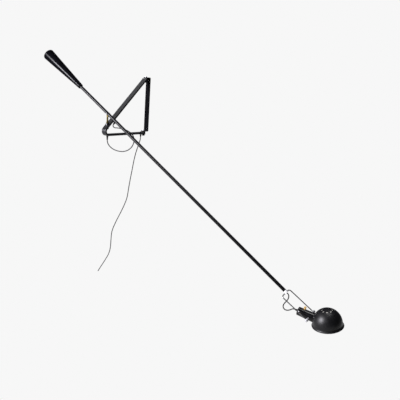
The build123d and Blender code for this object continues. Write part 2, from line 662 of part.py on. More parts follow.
def switch_key():
    """Brass key: a stem with a flat paddle."""
    bush_top = holder_r(KEY_AT) + KEY_BUSH_OUT
    paddle_low = bush_top + PADDLE_LOW
    key = upright(KEY_STEM_R, SWITCH_TOP + 1 + GAP, paddle_low + 1)
    key += upright(KEY_COLLAR_R, bush_top + GAP, paddle_low)
    paddle = Pos(0, 0, paddle_low + PADDLE_HIGH / 2) * Box(PADDLE_WIDE, PADDLE_THICK, PADDLE_HIGH)
    paddle = fillet(paddle.edges().filter_by(Axis.Y), 2.5)
    key += fillet(paddle.edges().group_by(Axis.Y)[0] + paddle.edges().group_by(Axis.Y)[-1], 0.8)
    return KEY * key


def switch_wires():
    """The two insulated conductors from the gland to the switch."""
    wires = []
    switch_back = KEY_AT - SWITCH_LONG / 2 - 3 * FIT
    entry = SWITCH_LOW + 2 * WIRE_R
    for side in (-WIRE_APART / 2, WIRE_APART / 2):
        path = FilletPolyline((CAP_FRONT + GAP, side, 0), (CAP_FRONT + 4, side, 0),
                              (switch_back - WIRE_R, side, entry), radius=6)
        start = Plane(origin=path @ 0, z_dir=path % 0)
        wires.append(HEAD * sweep(start * Circle(WIRE_R), path=path))
    return wires


# ---------------------------------------------------------------- shade, from the rim's middle
def shade_outline(shrink):
    """Half of the dome's section: sphere, then a band that flares to the rim."""
    radius = SHADE_R - shrink
    slant = radius * sin(pi / 4)
    top = (0, SHADE_BAND + radius)
    brow = (slant, SHADE_BAND + slant)
    side = (radius, SHADE_BAND)
    band = (SHADE_R + BAND_OUT - shrink, BAND_AT)
    rim = (RIM_R - RIM_BEAD_R / 1.5 - shrink, 1.9 * RIM_BEAD_R - shrink / 2)
    return top, brow, side, band, rim


def shade():
    """Spun dome with a rolled rim, a ring of round vents, and a hole for the holder."""
    top, brow, side, band, rim = shade_outline(0)
    top_in, brow_in, side_in, band_in, rim_in = shade_outline(SHADE_WALL)
    section = ThreePointArc(top, brow, side)
    section += ThreePointArc(side, band, rim)
    section += Line(rim, rim_in)
    section += ThreePointArc(rim_in, band_in, side_in)
    section += ThreePointArc(side_in, brow_in, top_in)
    section += Line(top_in, top)
    dome = revolve(Plane.XZ * make_face(section), Axis.Z)
    dome += Pos(0, 0, RIM_BEAD_R) * Torus(RIM_R - RIM_BEAD_R, RIM_BEAD_R)
    lean = degrees(atan2(VENT_RING_R, sqrt(SHADE_R**2 - VENT_RING_R**2)))
    for i in range(VENT_COUNT):
        spoke = Pos(0, 0, SHADE_BAND) * Rot(Z=(i + 0.5) * 360 / VENT_COUNT) * Rot(Y=lean)
        dome -= spoke * upright(VENT_R, SHADE_R - 5, SHADE_R + 5)
    dome = SHADE * dome
    return dome - HEAD * holder_cone(-10, 60, GAP)


def seat_ring():
    """Collar round the holder, inside the shade, soldered to it."""
    top, brow, side, band, rim = shade_outline(SHADE_WALL + 0.5)
    section = ThreePointArc(top, brow, side)
    section += ThreePointArc(side, band, rim)
    section += Polyline(rim, (0, rim[1]), top)
    room = SHADE * revolve(Plane.XZ * make_face(section), Axis.Z)
    sleeve = holder_cone(SEAT_RING_BACK, SEAT_RING_FRONT, SEAT_RING_THICK)
    sleeve -= holder_cone(SEAT_RING_BACK - 1, SEAT_RING_FRONT + 1, FIT)
    for angle in SEAT_SCREW_ANGLES:
        sleeve -= Pos(SEAT_SCREW_AT, 0, 0) * Rot(X=angle) * upright(SMALL_SCREW_R + FIT, 0, HOLDER_FRONT_R + 9)
    return HEAD * sleeve & room


def seat_screws():
    seat = holder_r(SEAT_SCREW_AT) + SEAT_RING_THICK + SEAT_LIFT
    return [small_screw(SEAT_SCREW_AT, angle, seat - 4.8, seat) for angle in SEAT_SCREW_ANGLES]


# ---------------------------------------------------------------- assembly
def build():
    jumper_end = [along(ARM, ARM_GLAND_AT, 0, -ARM_GLAND_TIP - out) for out in (8.4, 0)]
    head_start = [along(ARM, FITTING_FRONT + out) for out in (0, 9)]
    head_end = [along(HEAD, HEAD_GLAND_TIP - out) for out in (10, 0)]
    return {
        "wall_bar": wall_bar(),
        "hinge_bolts": [hinge_bolt(z) for z in LUG_FLOORS],
        "hinge_nuts": [hinge_nut(z) for z in LUG_FLOORS],
        "hinge_washers": [hinge_washer(z) for z in LUG_FLOORS],
        "bracket_tube": bracket_tube(),
        "upper_knuckle": knuckle(LUG_FLOORS[0]),
        "lower_knuckle": knuckle(LUG_FLOORS[1]),
        "swivel_sleeve": swivel_sleeve(),
        "swivel_screw": swivel_screw(),
        "rear_gland": bracket_gland(REAR_GLAND_Y, REAR_GLAND_TIP),
        "front_gland": bracket_gland(FRONT_GLAND_Y, FRONT_GLAND_TIP),
        "bracket_lead": bracket_lead(),
        "mains_cord": cord("mains_cord", MAINS_ROUTE, CORD_R),
        "jumper_cord": cord("jumper_cord", JUMPER_ROUTE + jumper_end, CORD_R),
        "swivel_washer": swivel_washer(),
        "swivel_pin": swivel_pin(),
        "arm_tube": arm_tube(),
        "arm_gland": arm_gland(),
        "arm_lead": arm_lead(),
        "friction_washers": friction_washers(),
        "tilt_bolt": tilt_bolt(),
        "tilt_nut": tilt_nut(),
        "counterweight": counterweight(),
        "counterweight_screw": counterweight_screw(),
        "spigot_screw": spigot_screw(),
        "end_fitting": end_fitting(),
        "yoke_wire": yoke_wire(),
        "head_cord": cord("head_cord", head_start + HEAD_CORD_ROUTE + head_end, CORD_R),
        "holder": holder(),
        "rear_cap": rear_cap(),
        "cap_screws": cap_screws(),
        "head_gland": head_gland(),
        "pivot_studs": pivot_studs(),
        "pivot_washers": pivot_washers(),
        "pivot_nuts": pivot_nuts(),
        "lamp_socket": lamp_socket(),
        "socket_ring": socket_ring(),
        "socket_shell": socket_shell(),
        "centre_contact": centre_contact(),
        "bulb_base": bulb_base(),
        "bulb_glass": bulb_glass(),
        "switch_body": switch_body(),
        "switch_nut": switch_nut(),
        "switch_key": switch_key(),
        "switch_wires": switch_wires(),
        "shade": shade(),
        "seat_ring": seat_ring(),
        "seat_screws": seat_screws(),
    }


os.makedirs("parts", exist_ok=True)
for name, piece in build().items():
    solids = piece if isinstance(piece, list) else [piece]
    export_step(Compound(children=[s for part in solids for s in part.solids()]), f"parts/{name}.step")
print("arm frame", along(ARM, 0), along(ARM, 1), "yoke pivot", along(YOKE, 0), along(YOKE, 0, 1))
print("switch axis", along(KEY, 0), along(KEY, 0, 0, 1), "shade", along(SHADE, 0), along(SHADE, 0, 0, 1))
print("routes end at", along(ARM, ARM_GLAND_AT, 0, -ARM_GLAND_TIP), along(ARM, FITTING_FRONT),
      along(HEAD, HEAD_GLAND_TIP))
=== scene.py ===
import json
import math

import bmesh
import bpy
from mathutils import Matrix, Vector


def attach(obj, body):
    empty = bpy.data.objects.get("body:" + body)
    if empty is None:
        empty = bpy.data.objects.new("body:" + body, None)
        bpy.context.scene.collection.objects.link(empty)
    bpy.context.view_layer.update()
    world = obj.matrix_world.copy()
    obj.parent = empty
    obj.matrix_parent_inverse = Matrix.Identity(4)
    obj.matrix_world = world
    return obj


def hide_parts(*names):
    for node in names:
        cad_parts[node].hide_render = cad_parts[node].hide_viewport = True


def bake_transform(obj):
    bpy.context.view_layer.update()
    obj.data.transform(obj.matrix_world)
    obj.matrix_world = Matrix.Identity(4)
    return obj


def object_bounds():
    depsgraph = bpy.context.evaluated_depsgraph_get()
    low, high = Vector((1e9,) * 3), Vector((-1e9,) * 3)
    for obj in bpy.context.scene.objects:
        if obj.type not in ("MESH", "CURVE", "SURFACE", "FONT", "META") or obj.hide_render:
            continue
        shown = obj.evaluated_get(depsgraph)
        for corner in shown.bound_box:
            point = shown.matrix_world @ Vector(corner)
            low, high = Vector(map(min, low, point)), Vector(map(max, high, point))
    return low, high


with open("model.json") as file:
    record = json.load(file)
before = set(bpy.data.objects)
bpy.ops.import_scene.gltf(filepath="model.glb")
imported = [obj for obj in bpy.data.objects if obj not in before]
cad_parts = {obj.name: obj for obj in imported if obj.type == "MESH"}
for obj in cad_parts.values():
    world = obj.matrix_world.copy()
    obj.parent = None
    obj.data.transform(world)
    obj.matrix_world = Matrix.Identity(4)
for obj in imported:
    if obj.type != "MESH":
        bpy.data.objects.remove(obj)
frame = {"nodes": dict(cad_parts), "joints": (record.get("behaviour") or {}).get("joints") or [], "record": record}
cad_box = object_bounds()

# Wall lamp: a swinging bracket, and a long arm with a counterweight and a dome shade.
# Everything is in metres, in the frame of the CAD model. The sizes below are in millimetres.
MM = 0.001
JOINTS = {joint["name"]: joint for joint in frame["joints"]}


# ---------------------------------------------------------------- frames of the lamp's parts
def own_frame(origin, x_axis, y_axis):
    """A part's own frame: its origin, its x axis, and roughly its y axis."""
    x = Vector(x_axis).normalized()
    z = x.cross(Vector(y_axis)).normalized()
    matrix = Matrix((x, z.cross(x), z)).transposed().to_4x4()
    matrix.translation = Vector(origin)
    return matrix


def shift(x=0.0, y=0.0, z=0.0):
    """A move in millimetres."""
    return Matrix.Translation(Vector((x, y, z)) * MM)


def turn(axis, angle):
    """A turn in degrees."""
    return Matrix.Rotation(math.radians(angle), 4, axis)


SHADE_AT = 82.3
SHADE_DIP = 14.7
RIM_BELOW = 8.2
ARM_LINE = Vector(JOINTS["yoke_roll"]["axis"])
HEAD_ACROSS = -Vector(JOINTS["head_tilt"]["axis"])
KEY_LINE = Vector(JOINTS["switch_turn"]["axis"])
ARM = own_frame(JOINTS["arm_tilt"]["pos_m"], ARM_LINE, -Vector(JOINTS["arm_tilt"]["axis"]))
YOKE = own_frame(JOINTS["head_tilt"]["pos_m"], ARM_LINE, HEAD_ACROSS)
HEAD = own_frame(JOINTS["head_tilt"]["pos_m"], HEAD_ACROSS.cross(KEY_LINE), HEAD_ACROSS)
SHADE = HEAD @ shift(SHADE_AT) @ turn("Y", -SHADE_DIP) @ shift(z=-RIM_BELOW)


# ---------------------------------------------------------------- camera
CAMERA_AT = (1.90085, -2.11908, 0.1438)
CAMERA_PAN = 35.2
CAMERA_DOWN = 13.3
CAMERA_ROLL = 4.2
CAMERA_LENS = 44.8
SENSOR_WIDTH = 36


def make_camera():
    camera = bpy.data.objects.new("camera", bpy.data.cameras.new("camera"))
    bpy.context.scene.collection.objects.link(camera)
    camera.data.sensor_width = SENSOR_WIDTH
    camera.data.lens = CAMERA_LENS
    camera.matrix_world = (Matrix.Translation(CAMERA_AT) @ turn("Z", CAMERA_PAN)
                           @ turn("X", 90 - CAMERA_DOWN) @ turn("Z", CAMERA_ROLL))
    bpy.context.scene.camera = camera


make_camera()

# ---------------------------------------------------------------- materials
BUMP_DEPTH = 0.0002
NOISE_ROUGHNESS = 0.55
NOISE_LOW, NOISE_HIGH = 0.3, 0.7     # nearly all of a noise's values lie between these
SMUDGE_FINER = 2.3                  # how much finer the roughness varies than the colour
GRAIN_DETAIL = 2.0


def noise(tree, scale, detail=4.0):
    """A noise texture in the piece's own coordinates. scale is in waves per metre."""
    place = tree.nodes.new("ShaderNodeTexCoord")
    texture = tree.nodes.new("ShaderNodeTexNoise")
    texture.inputs["Scale"].default_value = scale
    texture.inputs["Detail"].default_value = detail
    texture.inputs["Roughness"].default_value = NOISE_ROUGHNESS
    tree.links.new(place.outputs["Object"], texture.inputs["Vector"])
    return texture.outputs["Fac"]


def ramp(tree, value, stops):
    """Colours along a value: stops are (place, colour)."""
    node = tree.nodes.new("ShaderNodeValToRGB")
    elements = node.color_ramp.elements
    while len(elements) < len(stops):
        elements.new(0.5)
    for element, (place, colour) in zip(elements, stops):
        element.position = place
        element.color = (*colour, 1)
    tree.links.new(value, node.inputs["Fac"])
    return node.outputs["Color"]


def spread(tree, value, low, high):
    """A noise value brought between two limits."""
    node = tree.nodes.new("ShaderNodeMapRange")
    node.inputs["From Min"].default_value = NOISE_LOW
    node.inputs["From Max"].default_value = NOISE_HIGH
    node.inputs["To Min"].default_value = low
    node.inputs["To Max"].default_value = high
    tree.links.new(value, node.inputs["Value"])
    return node.outputs["Result"]


def bump(tree, shader, value, strength):
    node = tree.nodes.new("ShaderNodeBump")
    node.inputs["Strength"].default_value = strength
    node.inputs["Distance"].default_value = BUMP_DEPTH
    tree.links.new(value, node.inputs["Height"])
    tree.links.new(node.outputs["Normal"], shader.inputs["Normal"])


def finish_of(name, stops, roughness, mottle, grain, strength, **sockets):
    """A material: colour stops over a mottle, roughness limits, and a fine bump."""
    material = bpy.data.materials.new(name)
    material.use_nodes = True
    tree = material.node_tree
    shader = tree.nodes["Principled BSDF"]
    for socket, value in sockets.items():
        shader.inputs[socket.replace("_", " ")].default_value = value
    tree.links.new(ramp(tree, noise(tree, mottle), stops), shader.inputs["Base Color"])
    smudge = noise(tree, mottle * SMUDGE_FINER)
    tree.links.new(spread(tree, smudge, *roughness), shader.inputs["Roughness"])
    bump(tree, shader, noise(tree, grain, GRAIN_DETAIL), strength)
    return material


def grey(value, blue=1.0):
    return (value, value, value * blue)


def metal(name, dark, light, roughness, mottle, grain, strength):
    stops = [(0.35, dark), (0.65, light)]
    return finish_of(name, stops, roughness, mottle, grain, strength, Metallic=1.0)


def make_finishes():
    """One material for each slot of the record."""
    dull = [(0.35, grey(0.0012, 1.35)), (0.7, grey(0.004, 1.35))]
    deep = [(0.35, grey(0.0008, 1.4)), (0.7, grey(0.002, 1.4))]
    rubber = [(0.3, grey(0.004)), (0.7, grey(0.009))]
    soft_level = {"Specular_IOR_Level": 0.22}
    return {
        "black_enamel": finish_of("black_enamel", dull, (0.26, 0.40), 45, 1100, 0.12,
                                  Specular_IOR_Level=0.35),
        "black_gloss_tube": finish_of("black_gloss_tube", deep, (0.34, 0.44), 30, 500, 0.02,
                                      Specular_IOR_Level=0.12),
        "black_iron": finish_of("black_iron", deep, (0.16, 0.24), 26, 260, 0.05,
                                Specular_IOR_Level=0.035),
        "shade_black": finish_of("shade_black", deep, (0.40, 0.48), 38, 1500, 0.12,
                                 Specular_IOR_Level=0.27),
        "steel": metal("steel", grey(0.42), grey(0.62, 1.03), (0.24, 0.40), 90, 1200, 0.15),
        "dark_steel": metal("dark_steel", grey(0.04), grey(0.09), (0.32, 0.45), 120, 1400, 0.15),
        "aluminium": metal("aluminium", grey(0.50), grey(0.68, 1.02), (0.28, 0.42), 110, 1600, 0.15),
        # Painted shade: this brass is far darker than brass, to hold down the key light on the brass pin and
        # washers.
        "brass": metal("brass", (0.034, 0.026, 0.008), (0.068, 0.052, 0.016), (0.58, 0.70),
                       140, 1500, 0.15),
        "fibre": finish_of("fibre", [(0.3, (0.18, 0.05, 0.03)), (0.7, (0.30, 0.10, 0.06))],
                           (0.7, 0.85), 300, 2500, 0.4),
        "rubber": finish_of("rubber", rubber, (0.55, 0.70), 200, 2400, 0.2, **soft_level),
        "cord": finish_of("cord", rubber, (0.50, 0.66), 160, 2600, 0.2, **soft_level),
        "ceramic": finish_of("ceramic", [(0.3, (0.74, 0.72, 0.67)), (0.7, (0.86, 0.85, 0.81))],
                             (0.12, 0.25), 90, 500, 0.15),
        "opal_glass": finish_of("opal_glass", [(0.3, (0.86, 0.85, 0.82)), (0.7, (0.93, 0.92, 0.90))],
                                (0.08, 0.16), 70, 300, 0.05, Subsurface_Weight=0.3, Coat_Weight=0.6),
        "bakelite": finish_of("bakelite", [(0.3, (0.02, 0.011, 0.007)), (0.7, (0.05, 0.026, 0.015))],
                              (0.2, 0.35), 160, 1800, 0.15),
    }


FINISH = make_finishes()
INNER_WHITE = finish_of("shade_inner_white", [(0.3, (0.74, 0.73, 0.70)), (0.7, (0.84, 0.83, 0.81))],
                        (0.42, 0.58), 60, 1300, 0.2)
BAR_BLACK = finish_of("bar_black", [(0.35, grey(0.0006, 1.3)), (0.7, grey(0.002, 1.35))],
                      (0.70, 0.85), 50, 1200, 0.03, Specular_IOR_Level=0.02)
HOLDER_BLACK = finish_of("holder_black", [(0.35, grey(0.0008, 1.3)), (0.7, grey(0.002, 1.3))],
                         (0.20, 0.27), 40, 700, 0.03, Specular_IOR_Level=0.25)
# Painted shade: a much darker copy of the steel finish, so that the key light doesn't blow out the yoke wire.
WIRE_STEEL_PAINTED_SHADE = metal("wire_steel_painted_shade", grey(0.14), grey(0.24, 1.03), (0.30, 0.45), 90, 1500, 0.1)
# Zinc plating's grey, made light and only half metallic: partly painted reflection, standing in for the pale
# surroundings that the hinge bolts, pivot studs, washers, yoke eyes and pivot nuts would mirror, since the dim
# world gives them none.
ZINC_WITH_PAINTED_SHEEN = finish_of("zinc_with_painted_sheen", [(0.3, grey(0.30, 1.03)), (0.7, grey(0.46, 1.04))], (0.40, 0.55),
                 150, 1500, 0.15, Metallic=0.55)
# Painted reflection: the aluminium end fitting's near-white, half metallic grey stands in for the pale
# surroundings it would mirror.
FITTING_PAINTED_REFLECTION = finish_of("fitting_painted_reflection", [(0.3, grey(0.72)), (0.7, grey(0.86, 1.01))],
                           (0.28, 0.42), 140, 1500, 0.1, Metallic=0.45)
# Painted light: a much lighter copy of the brass finish, so that the switch key and its nut look lit.
KEY_BRASS_PAINTED_LIGHT = finish_of("key_brass_painted_light", [(0.3, (0.34, 0.21, 0.06)), (0.7, (0.58, 0.40, 0.15))],
                      (0.26, 0.42), 160, 1500, 0.15, Metallic=0.6)


def paint(piece, *slots):
    """Gives a piece its materials. A new mesh has none yet, and keeps its faces' material indexes."""
    if piece.data.materials:
        piece.data.materials.clear()
    for slot in slots:
        piece.data.materials.append(FINISH[slot] if isinstance(slot, str) else slot)


OWN_FINISH = {
    "wall_bar": BAR_BLACK,
    "end_fitting": FITTING_PAINTED_REFLECTION,
    "switch_key": KEY_BRASS_PAINTED_LIGHT,
    "switch_nut": KEY_BRASS_PAINTED_LIGHT,
    "pivot_studs": ZINC_WITH_PAINTED_SHEEN,
    "pivot_washers": ZINC_WITH_PAINTED_SHEEN,
}


def dress_nodes():
    """Every CAD node takes its slot's finish, apart from those with a finish of their own."""
    for subpart in frame["record"]["subparts"]:
        node = subpart["node"]
        paint(frame["nodes"][node], OWN_FINISH.get(node, subpart["material_slot"]))


dress_nodes()


# ---------------------------------------------------------------- making pieces
SAME_SPOT = 1e-7                    # vertices closer than this are one


def add(name, mesh, body, slot, nodes=(), finishes=()):
    """A new piece: its slot and finishes, the body it rides on, and the CAD nodes it stands for."""
    piece = bpy.data.objects.new(name, mesh)
    bpy.context.scene.collection.objects.link(piece)
    paint(piece, *(finishes or [slot]))
    if body:
        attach(piece, body)
    if nodes:
        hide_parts(*nodes)
    return piece


def shaded(mesh, sharp=32):
    """Smooth faces, with edges left sharp over an angle."""
    mesh.shade_smooth()
    mesh.set_sharp_from_angle(angle=math.radians(sharp))
    return mesh


def arc(x, r, radius, start, end, steps):
    """Points of an arc in a profile, in millimetres. Angles are in degrees from the profile's x."""
    points = []
    for i in range(steps + 1):
        angle = math.radians(start + (end - start) * i / steps)
        points.append((x + radius * math.cos(angle), r + radius * math.sin(angle)))
    return points


def turned(mesh, profile, matrix, segments=64, slots=None, wave=None):
    """Adds a body turned round the matrix's x axis. profile holds (x, r) in millimetres, r 0 closes it.
    wave(x, r, angle) changes the radius, for a knurl or a thread."""
    rows = []
    for x, r in profile:
        if r == 0:
            rows.append([mesh.verts.new(matrix @ (Vector((x, 0, 0)) * MM))])
            continue
        row = []
        for i in range(segments):
            angle = 2 * math.pi * i / segments
            reach = wave(x, r, angle) if wave else r
            spot = Vector((x, reach * math.cos(angle), reach * math.sin(angle))) * MM
            row.append(mesh.verts.new(matrix @ spot))
        rows.append(row)
    for k, (a, b) in enumerate(zip(rows, rows[1:])):
        for i in range(segments):
            j = (i + 1) % segments
            ring = [a[i % len(a)], a[j % len(a)], b[j % len(b)], b[i % len(b)]]
            face = mesh.faces.new(list(dict.fromkeys(ring)))
            face.material_index = slots[k] if slots else 0


def mesh_from(build, name, sharp=32):
    """A shaded mesh that build(bmesh) fills."""
    work = bmesh.new()
    build(work)
    bmesh.ops.remove_doubles(work, verts=work.verts, dist=SAME_SPOT)
    bmesh.ops.recalc_face_normals(work, faces=work.faces)
    mesh = bpy.data.meshes.new(name)
    work.to_mesh(mesh)
    work.free()
    return shaded(mesh, sharp)


def cut(mesh, cutter, sharp=32):
    """The mesh less the cutter's solid."""
    body = bpy.data.objects.new("cut_body", mesh)
    tool = bpy.data.objects.new("cut_tool", cutter)
    for item in (body, tool):
        bpy.context.scene.collection.objects.link(item)
    modifier = body.modifiers.new("cut", "BOOLEAN")
    modifier.object = tool
    modifier.operation = "DIFFERENCE"
    modifier.solver = "EXACT"
    seen = body.evaluated_get(bpy.context.evaluated_depsgraph_get())
    result = bpy.data.meshes.new_from_object(seen)
    for item in (body, tool):
        bpy.data.objects.remove(item)
    return shaded(result, sharp)


# ---------------------------------------------------------------- cords
CORD_D = 0.005
MAINS_ROUTE = [
    (0, -46, -176), (0, -46, -190), (-10, -44, -214), (-32, -41, -262), (-49, -39, -315),
    (-62, -37, -375), (-76, -36, -437), (-87, -36, -500), (-93, -37, -548), (-110, -38, -590),
    (-132, -40, -636), (-158, -41, -682), (-185, -42, -733), (-207, -42, -782), (-212, -41, -830),
    (-214, -40, -878), (-226, -38, -926), (-256, -36, -974), (-292, -34, -1024), (-329, -32, -1078),
]
JUMPER_ROUTE = [
    (0, -299, -181), (0, -299, -193), (11, -296, -212), (34, -289, -228), (70, -281, -235),
    (105, -274, -231), (133, -268, -216), (151, -264, -193), (158, -263, -167), (152, -265, -145),
    (136, -267, -131), (115, -270, -123), (95, -274, -118), (76, -279.5, -115.5), (60, -286.5, -114.5),
    (48, -291.5, -115.5), (38.5, -294.8, -112.5),
]
HEAD_CORD_ROUTE = [
    (1046.2, -157.3, -767.7), (1045.1, -158.3, -780.4), (1037.5, -159.3, -794.3),
    (1028.2, -160, -808), (1024.2, -160, -820.8), (1028, -159.4, -832), (1038.5, -157.2, -837.5),
    (1049.8, -154, -836), (1059.5, -149.8, -830.5),
]
FITTING_FRONT = 1262.5
ARM_GLAND_AT = 62
ARM_GLAND_TIP = 20
HEAD_GLAND_TIP = -73
ARM_CORD_STRAIGHT = 8.4             # the cord leaves each strain relief straight for this far
FITTING_CORD_STRAIGHT = 9
HEAD_CORD_STRAIGHT = 10


def route_of(points):
    return [Vector(p) * MM for p in points]


def along(matrix, x, y=0.0, z=0.0):
    """A point of a part's frame, given in millimetres."""
    return matrix @ (Vector((x, y, z)) * MM)


def spline_curve(name, route, bevel):
    """A smooth curve with the route's points as its control points."""
    data = bpy.data.curves.new(name, "CURVE")
    data.dimensions = "3D"
    spline = data.splines.new("NURBS")
    spline.points.add(len(route) - 1)
    for point, spot in zip(spline.points, route):
        point.co = (*spot, 1)
    spline.order_u = 3
    spline.use_endpoint_u = True
    data.resolution_u = 16
    data.bevel_depth = bevel
    data.bevel_resolution = 6
    data.use_fill_caps = True
    return data


def smooth_line(route):
    """Points read from the route's NURBS spline."""
    holder = bpy.data.objects.new("route", spline_curve("route", route, 0))
    bpy.context.scene.collection.objects.link(holder)
    seen = holder.evaluated_get(bpy.context.evaluated_depsgraph_get())
    line = [v.co.copy() for v in bpy.data.meshes.new_from_object(seen).vertices]
    bpy.data.objects.remove(holder)
    return line


def length_of(line):
    return sum((b - a).length for a, b in zip(line, line[1:]))


def tube_round(mesh, line, radius, segments=20):
    """Adds a round tube along a line, with closed ends."""
    side = (line[1] - line[0]).orthogonal().normalized()
    rows = []
    for i, spot in enumerate(line):
        ahead = (line[min(i + 1, len(line) - 1)] - line[max(i - 1, 0)]).normalized()
        side = (side - ahead * side.dot(ahead)).normalized()
        up = ahead.cross(side)
        row = []
        for k in range(segments):
            angle = 2 * math.pi * k / segments
            outwards = side * math.cos(angle) + up * math.sin(angle)
            row.append(mesh.verts.new(spot + outwards * radius))
        rows.append(row)
    for a, b in zip(rows, rows[1:]):
        for k in range(segments):
            j = (k + 1) % segments
            mesh.faces.new((a[k], a[j], b[j], b[k]))
    mesh.faces.new(rows[0])
    mesh.faces.new(rows[-1])


def mains_cord():
    route = route_of(MAINS_ROUTE)
    curve = spline_curve("mains_cord_line", route, CORD_D / 2)
    piece = add("mains_cord_line", curve, "bracket", "cord", ["mains_cord"])
    length_of(smooth_line(route))


def bending_cord(name, line, nodes):
    """A cord's tube that crosses one joint, between two bodies. It rides on no body."""
    mesh = mesh_from(lambda work: tube_round(work, line, CORD_D / 2), name, 60)
    piece = add(name, mesh, None, "cord", nodes)
    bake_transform(piece)


def jumper_cord():
    """From the bracket to the arm, in two tubes that meet where the loop turns back."""
    tail = [along(ARM, ARM_GLAND_AT, 0, -ARM_GLAND_TIP - out) for out in (ARM_CORD_STRAIGHT, 0)]
    line = smooth_line(route_of(JUMPER_ROUTE) + tail)
    far = max(range(len(line)), key=lambda i: line[i].x)
    bending_cord("jumper_cord_lower", line[:far + 1], ["jumper_cord"])
    bending_cord("jumper_cord_upper", line[far:], [])


def head_cord():
    start = [along(ARM, FITTING_FRONT + out) for out in (0, FITTING_CORD_STRAIGHT)]
    end = [along(HEAD, HEAD_GLAND_TIP - out) for out in (HEAD_CORD_STRAIGHT, 0)]
    line = smooth_line(start + route_of(HEAD_CORD_ROUTE) + end)
    bending_cord("head_cord_line", line, ["head_cord"])


mains_cord()
jumper_cord()
head_cord()


# ---------------------------------------------------------------- shade
SHADE_R = 64.5
SHADE_BAND = 15.5
SHADE_WALL = 1.2
RIM_R = 70
BEAD_R = 1.8
VENT_RING_R = 22.3
VENT_R = 3.2
VENT_COUNT = 8
VENT_CUT = 6                        # the vents are cut this far in and out of the dome
FLARE_CURVE = 2.2
HOLDER_CLEARANCE = 0.35
HOLDER_CUT = (-10, 60)
HOLDER_BACK, HOLDER_FRONT = -59.5, 36
HOLDER_BACK_R, HOLDER_FRONT_R = 19.2, 22
HOLDER_SLOPE = (HOLDER_FRONT_R - HOLDER_BACK_R) / (HOLDER_FRONT - HOLDER_BACK)


def holder_r(x):
    """Outside radius of the tapered holder."""
    return HOLDER_BACK_R + (x - HOLDER_BACK) * HOLDER_SLOPE


def flare(shrink, steps):
    """The band from the dome's sphere out to the bead: a soft double curve."""
    points = []
    end_x, end_r = 2 * BEAD_R, RIM_R - BEAD_R - shrink
    start_r = SHADE_R - shrink
    for i in range(1, steps):
        t = i / steps
        r = start_r + (end_r - start_r) * t ** FLARE_CURVE
        points.append((SHADE_BAND + (end_x - SHADE_BAND) * t, r))
    return points


def shade_profile():
    """Section of the dome from its top, outside, round the rolled rim and back inside. x is up."""
    outside = arc(SHADE_BAND, 0, SHADE_R, 0, 90, 44) + flare(0, 10)
    bead = arc(BEAD_R, RIM_R - BEAD_R, BEAD_R, 8, 318, 24)
    inside = flare(SHADE_WALL, 10)[::-1] + arc(SHADE_BAND, 0, SHADE_R - SHADE_WALL, 90, 0, 44)
    profile = outside + bead + inside
    profile[0] = (SHADE_BAND + SHADE_R, 0)
    profile[-1] = (SHADE_BAND + SHADE_R - SHADE_WALL, 0)
    return profile, len(outside) + len(bead) - 1


def shade_cutter(work):
    """The vents' bores, and the holder with its clearance."""
    lean = math.degrees(math.asin(VENT_RING_R / SHADE_R))
    low, high = SHADE_R - VENT_CUT, SHADE_R + VENT_CUT
    bore = [(low, 0), (low, VENT_R), (high, VENT_R), (high, 0)]
    for i in range(VENT_COUNT):
        spoke = (SHADE @ shift(z=SHADE_BAND) @ turn("Z", (i + 0.5) * 360 / VENT_COUNT)
                 @ turn("Y", lean) @ turn("Y", -90))
        turned(work, bore, spoke, 40)
    back, front = HOLDER_CUT
    hole = [(back, 0)] + [(x, holder_r(x) + HOLDER_CLEARANCE) for x in HOLDER_CUT] + [(front, 0)]
    turned(work, hole, HEAD, 96)


def make_shade():
    profile, first_inside = shade_profile()
    slots = [int(k >= first_inside) for k in range(len(profile))]
    axis = SHADE @ turn("Y", -90)
    dome = mesh_from(lambda work: turned(work, profile, axis, 176, slots), "shade_shell", 40)
    shell = cut(dome, mesh_from(shade_cutter, "shade_cutter"), 40)
    add("shade_shell", shell, "head", "shade_black", ["shade"], ["shade_black", INNER_WHITE])


make_shade()


# ---------------------------------------------------------------- counterweight and arm
WEIGHT_BACK, WEIGHT_FRONT = -495, -217
WEIGHT_BIG_R, WEIGHT_SMALL_R = 30.4, 12.8
WEIGHT_EDGE_R = 5
WEIGHT_EDGE_INSET = 0.35
WEIGHT_LIP_R = 1.5
WEIGHT_BORE_GAP = 0.1
TUBE_R = 8


def weight_profile():
    """Section of the counterweight: crowned back face, round shoulder, cone and front lip."""
    slope = math.degrees(math.atan2(WEIGHT_BIG_R - WEIGHT_SMALL_R, WEIGHT_FRONT - WEIGHT_BACK))
    edge_x = WEIGHT_BACK + WEIGHT_EDGE_R
    edge_r = WEIGHT_BIG_R - WEIGHT_EDGE_R - WEIGHT_EDGE_INSET
    back = [(WEIGHT_BACK, 0), (WEIGHT_BACK + 0.05, 10), (WEIGHT_BACK + 0.1, 20)]
    shoulder = arc(edge_x, edge_r, WEIGHT_EDGE_R - 0.1, 180, 90 - slope, 12)
    tip = arc(WEIGHT_FRONT - WEIGHT_LIP_R, WEIGHT_SMALL_R - WEIGHT_LIP_R - 0.1, WEIGHT_LIP_R,
              90 - slope, 0, 5)
    bore_r = TUBE_R + WEIGHT_BORE_GAP
    return back + shoulder + tip + [(WEIGHT_FRONT, bore_r), (WEIGHT_FRONT - 3, bore_r)]


def make_counterweight():
    mesh = mesh_from(lambda work: turned(work, weight_profile(), ARM, 128), "counterweight_casting")
    add("counterweight_casting", mesh, "arm", "black_iron", ["counterweight"])


TUBE_BACK, TUBE_FRONT = -462, 1249
TUBE_BORE_R = 6.5
SLOT_BACK, SLOT_FRONT = -11, 18
SLOT_WIDTH = 5.8
SLOT_CUT = 4                        # the cutter reaches this far below the tube


